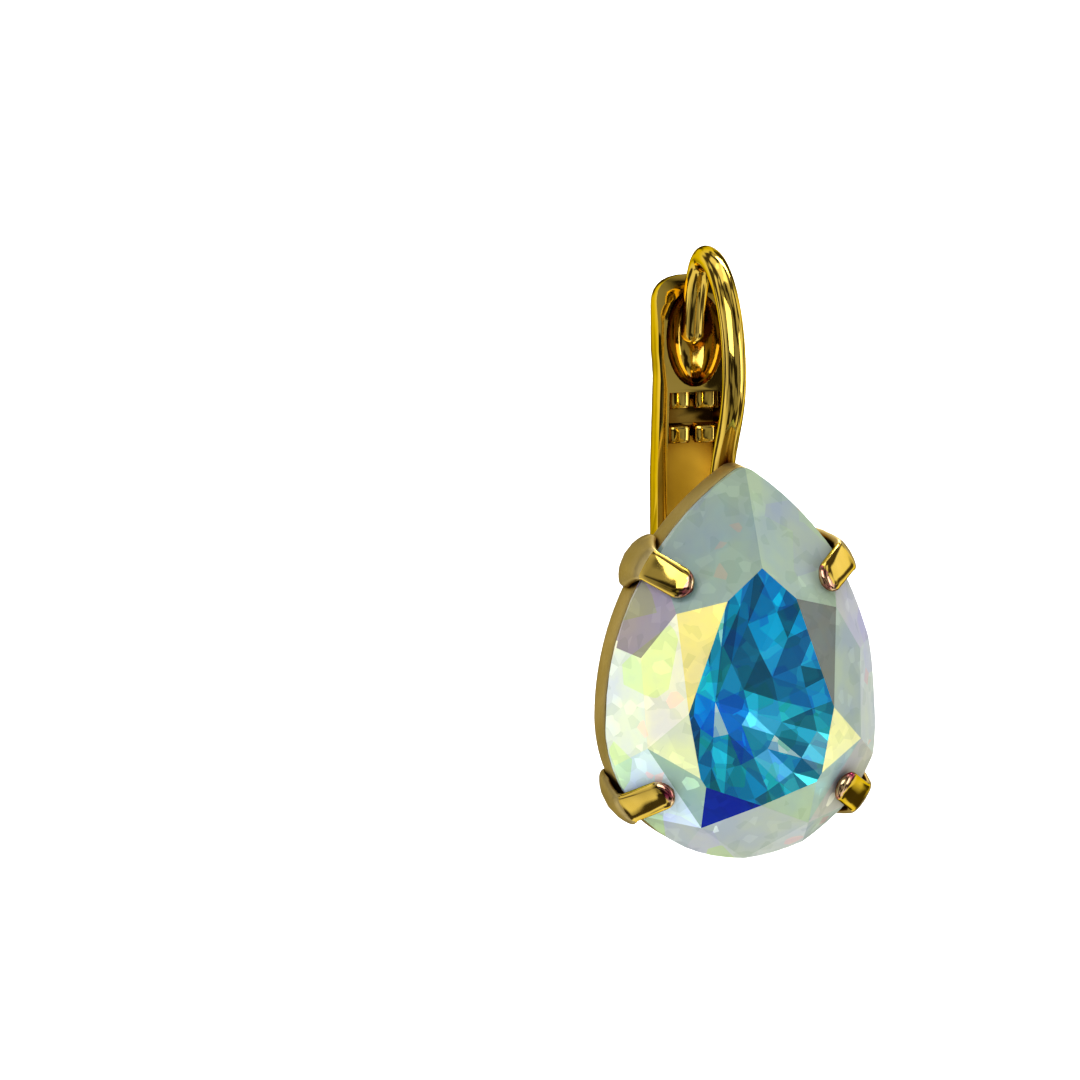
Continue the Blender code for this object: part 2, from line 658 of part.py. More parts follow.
def build_lever(parts, cutters):
    """Channel with a spoon, two cross ribs and two hinge cheeks."""
    lever = build_lever_body(parts, cutters)
    web_depth = LEVER_BACK_DEPTH - LEVER_WALL
    front_clear = LEVER_FRONT_DEPTH - CUTTER_MARGIN
    upper_rib, lower_rib = [(low * LEVER_TOP_HEIGHT, high * LEVER_TOP_HEIGHT) for low, high in RIBS]

    spoon_floor = upper_rib[1]
    spoon_roof = LEVER_TOP_HEIGHT - LEVER_WALL
    bowl_front = LEVER_FRONT_DEPTH - LEVER_WALL / 3
    bpy.ops.mesh.primitive_uv_sphere_add(
        segments=28, ring_count=16, radius=1,
        location=place_from_tip(0, (spoon_floor + spoon_roof) / 2, bowl_front))
    bowl = bpy.context.object
    bowl.name = "cut_bowl"
    bowl.scale = (
        SPOON_WIDTH / 2 - LEVER_WALL * SPOON_LIP,
        web_depth - bowl_front,
        (spoon_roof - spoon_floor) / 2)
    bpy.ops.object.transform_apply(location=False, rotation=False, scale=True)
    move_to(bowl, cutters)
    boolean(lever, bowl, "DIFFERENCE")

    foot = -HINGE_DROP - LEVER_FOOT_RADIUS - CUTTER_MARGIN / 2
    recess_top = spoon_floor - LEVER_WALL / 2
    inside = (
        ("cut_recess", lower_rib[0] - LEVER_WALL, recess_top, LEVER_FRONT_DEPTH + RIB_FRONT_SINK),
        ("cut_rib_gap", lower_rib[1], upper_rib[0], web_depth - LEVER_WALL / 3),
        ("cut_channel", foot, lower_rib[0], web_depth),
    )
    for name, low, high, depth in inside:
        cut = prism(name, channel_outline(low, high), front_clear, depth, "depth", cutters)
        boolean(lever, cut, "DIFFERENCE", "MANIFOLD")

    slot_low = place_from_tip(-RIB_SLOT_WIDTH / 2, lower_rib[0] - LEVER_WALL / 2, front_clear)
    slot_high = place_from_tip(RIB_SLOT_WIDTH / 2, recess_top - LEVER_WALL / 3, web_depth - LEVER_WALL / 2)
    slot = box_between("cut_rib_slot", slot_low, slot_high, cutters)
    boolean(lever, slot, "DIFFERENCE", "MANIFOLD")

    channel = LEVER_FOOT_WIDTH / 2 - LEVER_WALL
    web_foot = -HINGE_DROP + EYE_RADIUS + EYE_CLEARANCE
    foot_low = place_from_tip(-channel, foot, front_clear)
    foot_high = place_from_tip(channel, web_foot, LEVER_BACK_DEPTH + CUTTER_MARGIN)
    web_cut = box_between("cut_web_foot", foot_low, foot_high, cutters)
    boolean(lever, web_cut, "DIFFERENCE", "MANIFOLD")
    hole = cylinder_across(
        "cut_cheeks", PIN_HOLE_RADIUS, LEVER_FOOT_WIDTH + CUTTER_MARGIN,
        place_from_tip(0, -HINGE_DROP, HINGE_DEPTH), ROUND_SIDES, cutters)
    boolean(lever, hole, "DIFFERENCE", "MANIFOLD")
    return lever


def build_pin(parts):
    """Plain rivet through the lever's cheeks and the eye."""
    length = LEVER_FOOT_WIDTH + 2 * PIN_PROUD
    pin = cylinder_across(
        "hinge_pin", PIN_DIAMETER / 2, length, place_from_tip(0, -HINGE_DROP, HINGE_DEPTH),
        ROUND_SIDES, parts)
    bevelled_edges(pin, PIN_PROUD * 0.8, 2)
    return pin


def put_origin(obj, origin):
    """Move an object's origin without moving its mesh."""
    offset = origin - obj.location
    for vertex in obj.data.vertices:
        vertex.co -= offset
    obj.location = origin


def main():
    for obj in list(bpy.data.objects):
        bpy.data.objects.remove(obj)
    parts = bpy.data.collections.new(COLLECTION_NAME)
    cutters = bpy.data.collections.new("cutters")
    bpy.context.scene.collection.children.link(parts)
    bpy.context.scene.collection.children.link(cutters)

    crystal = build_crystal(parts)
    setting = build_setting(parts, cutters)
    lever = build_lever(parts, cutters)
    pin = build_pin(parts)
    put_origin(lever, place_from_tip(0, -HINGE_DROP, HINGE_DEPTH))

    gold = make_material("polished_gold", (0.83, 0.56, 0.16), 0.12, 1.0)
    crystal.data.materials.append(make_material("coated_crystal", (0.72, 0.84, 0.86), 0.03, 0.0))
    for obj in (setting, lever, pin):
        obj.data.materials.append(gold)
        obj.data.shade_smooth()
        obj.data.set_sharp_from_angle(angle=math.radians(35))
    for obj in cutters.objects:
        obj.hide_render = True
        obj.display_type = "WIRE"


main()
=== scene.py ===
import math
import random
from collections import namedtuple

import bmesh
import bpy
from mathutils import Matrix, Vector
from mathutils.bvhtree import BVHTree


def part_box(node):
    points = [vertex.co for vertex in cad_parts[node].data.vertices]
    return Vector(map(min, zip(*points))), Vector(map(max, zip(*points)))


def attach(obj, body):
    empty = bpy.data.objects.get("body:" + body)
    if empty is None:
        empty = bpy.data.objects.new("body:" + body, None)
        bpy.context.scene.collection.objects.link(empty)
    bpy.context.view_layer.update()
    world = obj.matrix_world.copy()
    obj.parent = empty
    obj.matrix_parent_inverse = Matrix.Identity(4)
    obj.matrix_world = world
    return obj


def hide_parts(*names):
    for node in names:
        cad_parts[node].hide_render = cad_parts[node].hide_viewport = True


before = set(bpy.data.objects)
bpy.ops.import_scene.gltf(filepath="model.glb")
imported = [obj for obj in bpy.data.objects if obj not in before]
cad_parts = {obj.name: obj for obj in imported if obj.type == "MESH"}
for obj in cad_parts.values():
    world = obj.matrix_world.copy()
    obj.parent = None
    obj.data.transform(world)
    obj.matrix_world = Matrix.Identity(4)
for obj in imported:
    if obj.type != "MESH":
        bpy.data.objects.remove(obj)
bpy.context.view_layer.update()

# Sizes that the frame gives
STONE_LOW, STONE_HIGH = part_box("crystal")
STONE_LENGTH = STONE_HIGH.z - STONE_LOW.z
BOWL_RADIUS = (STONE_HIGH.x - STONE_LOW.x) / 2
TIP_Z = STONE_HIGH.z
SETTING_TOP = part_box("setting")[1].z
PIN_LOW, PIN_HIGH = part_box("hinge_pin")
PIN_RADIUS = (PIN_HIGH.z - PIN_LOW.z) / 2
HINGE_Y = (PIN_LOW.y + PIN_HIGH.y) / 2
HINGE_Z = (PIN_LOW.z + PIN_HIGH.z) / 2

# Crystal, as the CAD has it
TIP_RADIUS = 0.0006
CROWN_HEIGHT = 0.0020
HALF_GIRDLE = 0.0002
GIRDLE_Y = STONE_LOW.y + CROWN_HEIGHT + HALF_GIRDLE
STONE_GAP = 0.00015

# The wide end's circle, the long side arc and the tip's arc of the pear outline
TIP_RISE = STONE_LENGTH - BOWL_RADIUS
TIP_CENTRE = TIP_RISE - TIP_RADIUS
SIDE_RADIUS = (BOWL_RADIUS**2 + TIP_CENTRE**2 - TIP_RADIUS**2) / (2 * (BOWL_RADIUS - TIP_RADIUS))
SIDE_CENTRE = SIDE_RADIUS - BOWL_RADIUS
TIP_ANGLE = math.atan2(SIDE_CENTRE, TIP_CENTRE)
BOWL_Z = TIP_Z - TIP_RISE
TIP_STEPS = 8
SIDE_STEPS = 32
BOWL_STEPS = 32

# Cup
SHEET = 0.00035
CUP_DEPTH = 0.00375
CUP_WALL = SHEET * 0.45
CUP_EDGE = SHEET * 0.12

# Cup sections from the rim to the back: share of the crystal's outline, share of the cup's depth
CUP_SECTIONS = (
    (1.000, 0.095),
    (1.000, 0.200),
    (1.000, 0.400),
    (0.995, 0.450),
    (0.985, 0.500),
    (0.970, 0.535),
    (0.950, 0.565),
    (0.645, 0.935),
    (0.620, 0.970),
    (0.595, 0.990),
    (0.560, 1.000),
)

# Prongs: strips that stand on the cup's wall, bulge round the girdle, fold and lie on the crown
PRONG_DROPS = (("upper", 0.00338), ("lower", 0.01185))
PRONG_WIDTH = 0.00115
PRONG_ROOT_WIDTH = 0.0021
PRONG_THICKNESS = 0.00036
PRONG_REACH = 0.0012
PRONG_BULGE = 0.00045
PRONG_ROOT_DEPTH = 0.0026
PRONG_ROOT_INSET = 0.0005
PRONG_ROOT_SAG = 0.00034
PRONG_DOME = PRONG_WIDTH * 0.50
PRONG_LIFT = STONE_GAP * 0.8 + PRONG_THICKNESS / 2
PRONG_SIDES = 28

# A prong's path: offsets as shares of the bulge, the pulls' depths as shares of the root's and of the
# fold's depth, and the ends' places as shares of the reach over the crown
LOW_PULL_BULGE, LOW_PULL_DEPTH = 1.35, 1.02
HIGH_PULL_BULGE, HIGH_PULL_DEPTH = 1.15, 0.20
FOLD_BULGE = 0.60
SHOULDER_BULGE = 0.35
SHOULDER_SINK = PRONG_THICKNESS * 0.10
SLOPE_START = 0.15
TIP_REACHES = (0.22, 0.60, 1.0)
RISE_STEPS = 9
PRONG_SMOOTHING = 8
FOLD_STEP = RISE_STEPS * PRONG_SMOOTHING

# A prong's section: how fast the root widens and sags behind the fold, where its rounded end starts,
# the squareness of its corners behind the fold and what the far end adds, and its thickness
ROOT_WIDENING = 2.2
ROOT_SAGGING = 2.5
ROOT_DOME_START = 0.62
ROOT_LEAST_SQUARE = 0.10
END_LEAST_SQUARE = 0.03
CORNER_POWER = 0.55
CORNER_POWER_GAIN = 0.45
END_THICKNESS = 0.30
TIP_SWELL = 0.35
# Share of the reach over the crown from which a prong's end carries a painted magenta reflection of
# the crystal
PAINTED_REFLECTION_FROM = 0.72

# Ear wire and the hinge's eye. The wire starts behind the cup, at a share of the eye's radius from the
# hinge, passes the cup's sloping back at shares of its outline and depth, and rises to the arch
ARCH_RISE = 0.0040
ARCH_CENTRE_HEIGHT = 0.00303
ARCH_CROWN_DEPTH = -GIRDLE_Y
WIRE_RADIUS = SETTING_TOP - TIP_Z - ARCH_CENTRE_HEIGHT - ARCH_RISE
WIRE_START = 1.6
WIRE_SLOPE_OUTLINE, WIRE_SLOPE_DEPTH = 0.620, 0.965
WIRE_ROOT_DEPTH = 0.00235
FRONT_LEG_DEPTH = 0.00113
BACK_LEG_DEPTH = 0.0062
BACK_LEG_END_HEIGHT = 0.0037
LEG_LOW_PULL, LEG_HIGH_PULL = 0.35, 0.40
WIRE_LOW_STEPS = 14
WIRE_LEG_STEPS = 28
WIRE_ARCH_STEPS = 72
WIRE_SIDES = 32
WIRE_END_LEAST_SQUARE = 0.02
EYE_RADIUS = 0.0008
EYE_WIDTH = 0.0015
EYE_CLEARANCE = 0.00008
EYE_HALF_TURN = math.radians(127)
EYE_STEPS = 40
TONGUE_HALF_HEIGHT = EYE_RADIUS * 0.8
DRILL_SIDES = 40

# Barrel-shaped fronts of the lever's half ribs
RIB_HEIGHTS = ((0.00137, 0.00218), (0.00012, 0.00077))
RIB_DEPTH = 0.00617
STUD_NEAR = 0.00008
STUD_FAR = 0.00094
STUD_BULGE = 0.00020
STUD_BASE = STUD_BULGE * 0.4
STUD_FRONT = STUD_BULGE * 1.4
STUD_ROWS = 16
STUD_COLUMNS = 24
STUD_CORNER_POWER = 0.75
STUD_FRONT_POWER = 0.8
STUD_END_POWER = 5
STUD_END_WIDTH, STUD_END_GAIN = 0.80, 0.20

# Rounded edges
EYE_EDGE = 0.00006
LEVER_EDGE = 0.00006
RIVET_EDGE = 0.00004

# Camera: the photograph's frame is 1080 pixels wide and high
FRAME_PX = 1080
PX_PER_M = 28150
CAMERA_DISTANCE = 0.30
CAMERA_AZIMUTH = math.radians(-16.2)
CAMERA_ELEVATION = math.radians(8.2)
STONE_MIDDLE_PX = (743.0, 663.3)
SENSOR_MM = 36

# Floor and backdrop, as distances behind the origin and above the floor
FLOOR_DROP = 0.02
FLOOR_FRONT = -0.6
FLOOR_BACK = 0.10
FLOOR_HALF_WIDTH = 1.2
SWEEP_RADIUS = 0.15
SWEEP_STEPS = 16
BACKDROP_HEIGHT = 0.9

# Lamps round the crystal: place from its wide end's middle, size, power in watts
LAMPS = (
    ("key", (-0.16, -0.20, 0.18), (0.24, 0.24), 0.56),
    ("fill", (0.24, -0.16, 0.02), (0.08, 0.22), 0.14),
    ("top", (0.0, 0.03, 0.25), (0.20, 0.12), 0.10),
)
BACKDROP_LAMP_PLACE = Vector((0.10, 0.10, 0.16))
BACKDROP_LAMP_TARGET = Vector((0.08, 0.25, -0.04))
BACKDROP_LAMP_SIZE = (0.12, 0.10)
BACKDROP_LAMP_POWER = 0.8

# Looks of the crown's facets seen from the front: rough place as share of half width and of length
# below the tip, colour of the coating with the painted reflection, light or dark, that the facet
# shows, and how much of it covers the clear glass. Each facet takes the look whose place is nearest to
# its centre
FacetLook = namedtuple("FacetLook", "side drop colour coat_share")
FACET_LOOKS = tuple(FacetLook(*row) for row in (
    (0.00, 0.56, (0.20, 0.80, 0.95), 0.0),
    (-0.30, 0.20, (0.25, 0.35, 0.31), 0.95),
    (0.30, 0.20, (0.44, 0.56, 0.46), 0.95),
    (-0.45, 0.45, (1.00, 0.88, 0.30), 0.97),
    (0.45, 0.45, (0.13, 0.14, 0.11), 0.92),
    (-0.65, 0.50, (1.00, 1.00, 0.74), 0.97),
    (0.65, 0.50, (0.47, 0.57, 0.52), 0.95),
    (-0.60, 0.70, (0.82, 0.90, 0.56), 0.95),
    (0.60, 0.70, (1.00, 1.00, 0.46), 0.97),
    (-0.55, 0.80, (0.36, 0.54, 0.46), 0.90),
    (0.55, 0.80, (0.42, 0.58, 0.53), 0.90),
    (-0.70, 0.80, (0.72, 0.92, 1.00), 0.96),
    (0.70, 0.80, (0.55, 0.56, 0.53), 0.94),
    (-0.25, 0.85, (0.004, 0.015, 0.30), 0.96),
    (0.25, 0.85, (0.42, 0.56, 0.40), 0.92),
    (0.00, 0.90, (0.47, 0.54, 0.49), 0.95),
    (-0.75, 0.35, (0.40, 0.34, 0.40), 0.94),
    (0.75, 0.35, (0.44, 0.46, 0.50), 0.94),
    (-0.90, 0.60, (0.90, 1.00, 0.84), 0.96),
    (0.90, 0.60, (0.42, 0.50, 0.47), 0.95),
    (-0.50, 0.90, (0.46, 0.55, 0.50), 0.94),
    (0.50, 0.90, (0.45, 0.54, 0.48), 0.94),
    (-0.25, 0.95, (0.44, 0.50, 0.47), 0.95),
    (0.25, 0.95, (0.44, 0.50, 0.45), 0.95),
))

# Patches on the crown and on its reflecting back: share of the cells where each starts, and the colour
# that the facet's own is multiplied by. Those above 1 are painted glints
CROWN_PATCHES = (
    (0.0, (1.0, 1.0, 1.0)),
    (0.55, (0.92, 1.10, 0.52)),
    (0.66, (0.94, 0.88, 1.12)),
    (0.80, (1.08, 1.08, 1.06)),
    (0.95, (1.25, 0.75, 0.80)),
)
CROWN_SPARKS = (
    (0.0, (1.0, 1.0, 1.0)),
    (0.72, (0.90, 0.92, 0.90)),
    (0.90, (1.12, 1.12, 1.10)),
    (0.986, (1.35, 0.92, 0.88)),
    (0.993, (1.6, 1.6, 1.5)),
)
FOIL_PATCHES = (
    (0.0, (1.0, 1.0, 1.0)),
    (0.40, (0.45, 0.70, 1.0)),
    (0.60, (0.55, 1.0, 0.75)),
    (0.75, (1.6, 1.4, 1.2)),
    (0.95, (2.5, 2.0, 1.8)),
)

# Reflecting back seen through the table: place as share of half width and of length below the tip,
# and the colour that facets near it tend to: painted reflections of the coated crystal in its back
FoilZone = namedtuple("FoilZone", "side drop colour")
FOIL_ZONES = tuple(FoilZone(*row) for row in (
    (-0.05, 0.26, (0.01, 0.42, 0.95)),
    (0.18, 0.38, (0.00, 0.32, 0.72)),
    (-0.22, 0.38, (0.22, 0.72, 1.00)),
    (-0.42, 0.55, (0.00, 0.44, 0.28)),
    (-0.10, 0.52, (0.01, 0.50, 0.74)),
    (0.25, 0.55, (0.01, 0.30, 0.66)),
    (-0.40, 0.70, (0.01, 0.16, 0.34)),
    (0.05, 0.69, (0.00, 0.22, 0.85)),
    (-0.05, 0.80, (0.01, 0.38, 0.60)),
    (0.35, 0.74, (0.02, 0.42, 0.68)),
))
# Painted white glint that a few facets of the back take
FOIL_SPARK = (0.70, 1.00, 1.00)
SPARK_CHANCE = 0.03
FOIL_LIGHT_LEAST, FOIL_LIGHT_SPAN = 0.30, 1.50
FOIL_GREEN_LEAST, FOIL_GREEN_SPAN = 0.85, 0.4
FOIL_LEAST_EDGE = 0.0008
FOIL_CUTS = 3
FOIL_JITTER = 0.00014
FOIL_NARROWING = 0.03
FOIL_CLEARANCE = 0.0005
FOIL_SEED = 5

# Pavilion faces near the girdle, which show over the cup's rim, have the coating in this colour. The
# pavilion's faces are those whose normal points back by more than the last number
RIM_TINT = (0.46, 0.55, 0.52)
GLASS_IOR = 1.56
FACING_BACK = 0.05


def place(x, rise, depth):
    """World point from the distance beside, above the wide end's centre, and behind the girdle."""
    return Vector((x, GIRDLE_Y + depth, BOWL_Z + rise))


def outline_point(angle):
    """Point of the pear outline whose outward normal leans by this angle from straight up."""
    side = math.sin(angle)
    up = math.cos(angle)
    turn = abs(angle)
    if turn < TIP_ANGLE:
        return TIP_RADIUS * side, TIP_CENTRE + TIP_RADIUS * up
    if turn < math.pi / 2:
        return SIDE_RADIUS * side - math.copysign(SIDE_CENTRE, angle), SIDE_RADIUS * up
    return BOWL_RADIUS * side, BOWL_RADIUS * up


def outline_angles():
    """Normal angles of the outline's points, once round from the tip."""
    half = [TIP_ANGLE * i / TIP_STEPS for i in range(TIP_STEPS)]
    side_span = math.pi / 2 - TIP_ANGLE
    half += [TIP_ANGLE + side_span * i / SIDE_STEPS for i in range(SIDE_STEPS)]
    half += [math.pi / 2 * (1 + i / BOWL_STEPS) for i in range(BOWL_STEPS + 1)]
    return half + [-angle for angle in reversed(half[1:-1])]


def angle_at_drop(drop):
    """Normal angle of the right-hand outline at a distance below the tip."""
    rise = TIP_RISE - drop
    return math.acos(rise / (SIDE_RADIUS if rise > 0 else BOWL_RADIUS))


def bezier(start, low_pull, high_pull, end, t):
    """Point at t, from 0 to 1, on the curve from start to end."""
    return (
        start * (1 - t)**3 + low_pull * 3 * t * (1 - t)**2
        + high_pull * 3 * t * t * (1 - t) + end * t**3)


def smooth_through(points, steps):
    """Catmull-Rom curve through the points."""
    ends = [2 * points[0] - points[1], *points, 2 * points[-1] - points[-2]]
    curve = []
    for a, b, c, d in zip(ends, ends[1:], ends[2:], ends[3:]):
        for i in range(steps):
            t = i / steps
            curve.append(0.5 * (
                2 * b + (c - a) * t + (2 * a - 5 * b + 4 * c - d) * t**2
                + (3 * b - a - 3 * c + d) * t**3))
    curve.append(points[-1].copy())
    return curve


def left_of(path, i):
    """Unit vector to the left of a path's direction at its point i."""
    ahead = (path[min(i + 1, len(path) - 1)] - path[max(i - 1, 0)]).normalized()
    return Vector((-ahead.y, ahead.x))


def dome_share(to_end, length, least_square):
    """Share of the full width at a distance from a rounded end of the given length."""
    if to_end >= length:
        return 1.0
    return math.sqrt(max(least_square, 1 - (1 - to_end / length)**2))


def squarer(value, power):
    """A sine or cosine to a power, with its sign kept, which gives a circle squarer corners."""
    return math.copysign(abs(value)**power, value)


def add_object(name, bm):
    """Object of a bmesh, linked to the scene."""
    mesh = bpy.data.meshes.new(name)
    bm.to_mesh(mesh)
    bm.free()
    obj = bpy.data.objects.new(name, mesh)
    bpy.context.scene.collection.objects.link(obj)
    return obj


def loft(rings, close_start=True):
    """Bmesh skin through rings of equally many points, closed at its end."""
    bm = bmesh.new()
    rows = [[bm.verts.new(point) for point in ring] for ring in rings]
    for lower, upper in zip(rows, rows[1:]):
        for i in range(len(lower)):
            j = (i + 1) % len(lower)
            bm.faces.new((lower[i], lower[j], upper[j], upper[i]))
    if close_start:
        bm.faces.new(list(reversed(rows[0])))
    bm.faces.new(rows[-1])
    bmesh.ops.recalc_face_normals(bm, faces=bm.faces)
    return bm


def smooth(obj, angle_deg=35):
    """Shade an object smooth, except across edges sharper than the angle."""
    obj.data.shade_smooth()
    obj.data.set_sharp_from_angle(angle=math.radians(angle_deg))


def round_edges(obj, name, width, segments, angle_deg):
    """Bevel an object's edges that are sharper than the angle."""
    edge = obj.modifiers.new(name, "BEVEL")
    edge.width = width
    edge.segments = segments
    edge.limit_method = "ANGLE"
    edge.angle_limit = math.radians(angle_deg)


def apply_modifiers(obj):
    """Replace an object's mesh by what its modifiers make of it."""
    bpy.context.view_layer.update()
    depsgraph = bpy.context.evaluated_depsgraph_get()
    mesh = bpy.data.meshes.new_from_object(obj.evaluated_get(depsgraph))
    obj.modifiers.clear()
    obj.data = mesh


def cad_facets(node, angle_deg):
    """Bmesh of a CAD node with its triangles joined into flat faces again."""
    bm = bmesh.new()
    bm.from_mesh(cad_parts[node].data)
    bmesh.ops.remove_doubles(bm, verts=bm.verts, dist=1e-7)
    bmesh.ops.dissolve_limit(
        bm, angle_limit=math.radians(angle_deg), verts=bm.verts, edges=bm.edges)
    return bm


def node_tools(owner):
    """Node tree of a material or world, with short ways to add nodes and links to it."""
    tree = owner.node_tree

    def add(kind, **settings):
        node = tree.nodes.new(kind)
        for key, value in settings.items():
            setattr(node, key, value)
        return node

    return tree, add, tree.links.new


def new_material(name):
    """Material with a node tree."""
    material = bpy.data.materials.new(name)
    material.use_nodes = True
    return material


def colour_ramp(add, link, share, stops, interpolation="LINEAR"):
    """Colours between the given positions, read at the share's value."""
    ramp = add("ShaderNodeValToRGB")
    ramp.color_ramp.interpolation = interpolation
    elements = ramp.color_ramp.elements
    for element, (position, colour) in zip(elements, stops):
        element.position = position
        element.color = (*colour, 1)
    for position, colour in stops[2:]:
        elements.new(position).color = (*colour, 1)
    link(share, ramp.inputs["Fac"])
    return ramp.outputs["Color"]


def noise(add, link, coordinates, scale, detail):
    """Noise texture of the given scale."""
    texture = add("ShaderNodeTexNoise")
    texture.inputs["Scale"].default_value = scale
    texture.inputs["Detail"].default_value = detail
    link(coordinates, texture.inputs["Vector"])
    return texture.outputs["Fac"]


def patches(add, link, coordinates, scale, stops):
    """Sharp-edged patches, each of one of the colours given with the share where it starts."""
    cells = add("ShaderNodeTexVoronoi")
    cells.inputs["Scale"].default_value = scale
    link(coordinates, cells.inputs["Vector"])
    part = add("ShaderNodeSeparateColor")
    link(cells.outputs["Color"], part.inputs["Color"])
    return colour_ramp(add, link, part.outputs["Red"], stops, "CONSTANT")


def product(add, link, first, second, factor=1.0):
    """Product of two colours, or only a factor of the way from the first to it."""
    mix = add("ShaderNodeMix", data_type="RGBA", blend_type="MULTIPLY")
    mix.inputs["Factor"].default_value = factor
    link(first, mix.inputs["A"])
    link(second, mix.inputs["B"])
    return mix.outputs["Result"]


def gold_material(name, colour, tarnish, edge, roughness, grain, bump, drift_scale=420):
    """Plated gold: slight colour drift, painted shade that darkens its hollows and creases, fine
    polishing grain and small dents.
    """
    material = new_material(name)
    tree, add, link = node_tools(material)
    shader = tree.nodes["Principled BSDF"]
    shader.inputs["Metallic"].default_value = 1.0
    shader.inputs["Specular Tint"].default_value = (*edge, 1)
    coordinates = add("ShaderNodeTexCoord").outputs["Object"]

    drift = noise(add, link, coordinates, drift_scale, 3)
    tint = colour_ramp(add, link, drift, ((0.35, tarnish), (0.65, colour)))
    # Painted shade: ambient occlusion darkens the base colour in hollows, creases and where parts
    # touch
    hollow = add("ShaderNodeAmbientOcclusion", samples=8)
    hollow.inputs["Distance"].default_value = 0.0009
    painted_hollow_shade = colour_ramp(
        add, link, hollow.outputs["AO"], ((0.32, (0.34, 0.20, 0.05)), (0.90, (1, 1, 1))))
    link(product(add, link, tint, painted_hollow_shade), shader.inputs["Base Color"])

    fine = noise(add, link, coordinates, grain, 5)
    rough = add("ShaderNodeMapRange")
    rough.inputs["To Min"].default_value = roughness * 0.7
    rough.inputs["To Max"].default_value = roughness * 1.4
    link(fine, rough.inputs["Value"])
    link(rough.outputs["Result"], shader.inputs["Roughness"])
    relief = add("ShaderNodeBump")
    relief.inputs["Strength"].default_value = bump
    relief.inputs["Distance"].default_value = 0.00002
    link(fine, relief.inputs["Height"])
    link(relief.outputs["Normal"], shader.inputs["Normal"])
    return material


def coat_material():
    """Crown of the crystal: clear and glossy, under a coating whose colour each facet carries with its
    painted reflection, and with painted glints.
    """
    material = new_material("coated_crown")
    tree, add, link = node_tools(material)
    tint = add("ShaderNodeAttribute", attribute_name="facet_tint")
    share = add("ShaderNodeAttribute", attribute_name="coat_share")
    coordinates = add("ShaderNodeTexCoord").outputs["Object"]

    clear = add("ShaderNodeBsdfTransparent")
    gloss = add("ShaderNodeBsdfGlossy")
    gloss.inputs["Roughness"].default_value = 0.02
    fresnel = add("ShaderNodeFresnel")
    fresnel.inputs["IOR"].default_value = GLASS_IOR
    glass = add("ShaderNodeMixShader")
    link(fresnel.outputs["Fac"], glass.inputs["Fac"])
    link(clear.outputs["BSDF"], glass.inputs[1])
    link(gloss.outputs["BSDF"], glass.inputs[2])

    cloud = noise(add, link, coordinates, 520, 4)
    hues = colour_ramp(add, link, cloud, ((0.36, (0.84, 0.84, 1.0)), (0.64, (1.0, 1.0, 0.84))))
    clouded = product(add, link, tint.outputs["Color"], hues)
    patched = product(
        add, link, clouded, patches(add, link, coordinates, 620, CROWN_PATCHES), factor=0.75)
    # Painted glints: small cells lighten or darken the coating's colour
    sparkling = product(add, link, patched, patches(add, link, coordinates, 2300, CROWN_SPARKS))

    coat = add("ShaderNodeBsdfPrincipled")
    coat.inputs["Roughness"].default_value = 0.16
    coat.inputs["IOR"].default_value = GLASS_IOR
    coat.inputs["Specular IOR Level"].default_value = 0.25
    link(sparkling, coat.inputs["Base Color"])
    mix = add("ShaderNodeMixShader")
    link(share.outputs["Fac"], mix.inputs["Fac"])
    link(glass.outputs["Shader"], mix.inputs[1])
    link(coat.outputs["BSDF"], mix.inputs[2])
    link(mix.outputs["Shader"], tree.nodes["Material Output"].inputs["Surface"])
    return material


def foil_material():
    """Pavilion of the crystal: a shiny back with a painted glow, standing in for light reflected
    inside the stone, whose colour changes from facet to facet.
    """
    material = new_material("foiled_pavilion_painted_glow")
    tree, add, link = node_tools(material)
    shader = tree.nodes["Principled BSDF"]
    shader.inputs["Metallic"].default_value = 0.25
    shader.inputs["Roughness"].default_value = 0.12
    # Painted glow: the back emits its own colour, standing in for light reflected inside the crystal
    shader.inputs["Emission Strength"].default_value = 0.30
    tint = add("ShaderNodeAttribute", attribute_name="facet_tint")
    coordinates = add("ShaderNodeTexCoord").outputs["Object"]
    spots = patches(add, link, coordinates, 1700, FOIL_PATCHES)
    colour = product(add, link, tint.outputs["Color"], spots, factor=0.8)
    link(colour, shader.inputs["Base Color"])
    link(colour, shader.inputs["Emission Color"])
    return material


def cut_small_facets(bm, chance):
    """Split the pavilion's faces and tilt the small ones, as the cut's many reflections look."""
    pavilion = [face for face in bm.faces if face.normal.y > FACING_BACK]
    bmesh.ops.triangulate(bm, faces=pavilion)
    pavilion = [face for face in bm.faces if face.normal.y > FACING_BACK]
    girdle_verts = {
        vert for face in bm.faces if face.normal.y <= FACING_BACK for vert in face.verts}
    edges = {edge for face in pavilion for edge in face.edges}
    inner = [edge for edge in edges if not all(vert in girdle_verts for vert in edge.verts)]
    inner = [edge for edge in inner if edge.calc_length() > FOIL_LEAST_EDGE]
    known = set(bm.verts)
    bmesh.ops.subdivide_edges(bm, edges=inner, cuts=FOIL_CUTS, use_grid_fill=True)
    clear_of_girdle = GIRDLE_Y + HALF_GIRDLE + FOIL_CLEARANCE
    for vert in bm.verts:
        if vert not in known and vert.co.y > clear_of_girdle:
            vert.co.y -= chance.random() * FOIL_JITTER
            vert.co.x *= 1 - chance.random() * FOIL_NARROWING
            vert.co.z += (chance.random() - 0.5) * FOIL_JITTER


